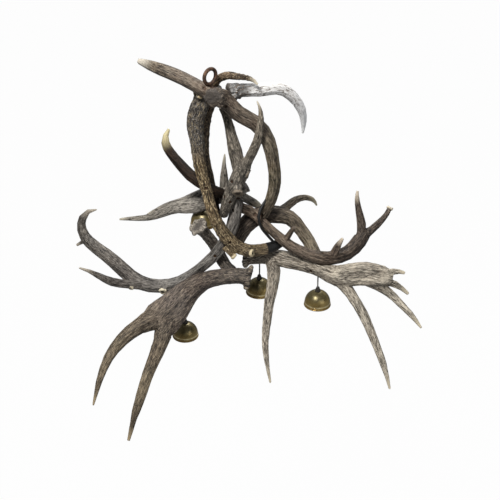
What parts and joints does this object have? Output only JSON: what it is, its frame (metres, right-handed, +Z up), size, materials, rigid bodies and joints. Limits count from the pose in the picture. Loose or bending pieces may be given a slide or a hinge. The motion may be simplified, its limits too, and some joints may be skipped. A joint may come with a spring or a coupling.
{
  "type": "antler chandelier",
  "caption": "Chandelier of shed antlers screwed together round a hub, hung from a forged eye, with small brass dome shades hanging on short cords.",
  "frame": {"origin": "centre of the hanging eye, which the chandelier hangs from", "axes": "+Z up, +X to the right and +Y to the back as seen from the front"},
  "size_m": [0.9807, 0.5562, 0.9665],
  "materials": {
    "antler_dark": "ridged antler bone, dark brown grey",
    "antler_grey": "ridged antler bone, weathered grey brown",
    "antler_pale": "pitted antler bone, pale tan grey",
    "antler_white": "bleached antler bone",
    "rusty_iron": "forged, brown with rust",
    "black_iron": "blackened",
    "tape": "black insulating tape",
    "black_rubber": "black cable sheath",
    "grey_flex": "thin pale grey flex",
    "black_grip": "black moulded",
    "aged_brass": "aged, olive gold, polished through on the beads",
    "holder": "black moulded lamp holder",
    "lamp_metal": "plain",
    "lamp_glass": "clear"
  },
  "bodies": {
    "frame": {"top_antler": "antler_dark", "upright_antler": "antler_grey", "rear_upright_antler": "antler_grey", "white_spike_antler": "antler_white", "forked_antler": "antler_grey", "dark_antler": "antler_dark", "back_left_antler": "antler_pale", "left_antler": "antler_grey", "burr_left_antler": "antler_dark", "front_left_antler": "antler_grey", "right_antler": "antler_grey", "front_right_antler": "antler_pale", "back_right_antler": "antler_dark", "hanging_eye": "rusty_iron", "eye_washers": "rusty_iron", "eye_nut": "rusty_iron", "joint_screws": "black_iron", "tape_wrap": "tape", "feed_cable": "black_rubber", "cord_bush_1": "black_grip", "cord_bush_2": "black_grip", "cord_bush_3": "black_grip", "cord_bush_4": "black_grip"},
    "cord_1": {"pendant_cord_1": "grey_flex"},
    "dome_1": {"cord_grip_1": "black_grip", "shade_1": "aged_brass", "lamp_holder_1": "holder", "lamp_cap_1": "lamp_metal", "lamp_glass_1": "lamp_glass"},
    "cord_2": {"pendant_cord_2": "grey_flex"},
    "dome_2": {"cord_grip_2": "black_grip", "shade_2": "aged_brass", "lamp_holder_2": "holder", "lamp_cap_2": "lamp_metal", "lamp_glass_2": "lamp_glass"},
    "cord_3": {"pendant_cord_3": "grey_flex"},
    "dome_3": {"cord_grip_3": "black_grip", "shade_3": "aged_brass", "lamp_holder_3": "holder", "lamp_cap_3": "lamp_metal", "lamp_glass_3": "lamp_glass"},
    "cord_4": {"pendant_cord_4": "grey_flex"},
    "dome_4": {"cord_grip_4": "black_grip", "shade_4": "aged_brass", "lamp_holder_4": "holder", "lamp_cap_4": "lamp_metal", "lamp_glass_4": "lamp_glass"}
  },
  "joints": [
    {"name": "cord_1_swing", "type": "hinge", "parent": "frame", "child": "cord_1", "pos_m": [-0.08656, 0.00771, -0.62526], "axis": [0, 1, 0], "range_deg": [-12, 12]},
    {"name": "dome_1_tilt", "type": "hinge", "parent": "cord_1", "child": "dome_1", "pos_m": [-0.08656, 0.00771, -0.75626], "axis": [1, 0, 0], "range_deg": [-10, 10]},
    {"name": "cord_2_swing", "type": "hinge", "parent": "frame", "child": "cord_2", "pos_m": [0.12912, 0.00799, -0.55209], "axis": [0, 1, 0], "range_deg": [-12, 12]},
    {"name": "dome_2_tilt", "type": "hinge", "parent": "cord_2", "child": "dome_2", "pos_m": [0.12912, 0.00799, -0.60609], "axis": [1, 0, 0], "range_deg": [-10, 10]},
    {"name": "cord_3_swing", "type": "hinge", "parent": "frame", "child": "cord_3", "pos_m": [0.29414, -0.03383, -0.5669], "axis": [0, 1, 0], "range_deg": [-12, 12]},
    {"name": "dome_3_tilt", "type": "hinge", "parent": "cord_3", "child": "dome_3", "pos_m": [0.29414, -0.03383, -0.6209], "axis": [1, 0, 0], "range_deg": [-10, 10]},
    {"name": "cord_4_swing", "type": "hinge", "parent": "frame", "child": "cord_4", "pos_m": [-0.02852, 0.079, -0.37531], "axis": [0, 1, 0], "range_deg": [-12, 7]},
    {"name": "dome_4_tilt", "type": "hinge", "parent": "cord_4", "child": "dome_4", "pos_m": [-0.02852, 0.079, -0.42131], "axis": [1, 0, 0], "range_deg": [-10, 10]}
  ]
}
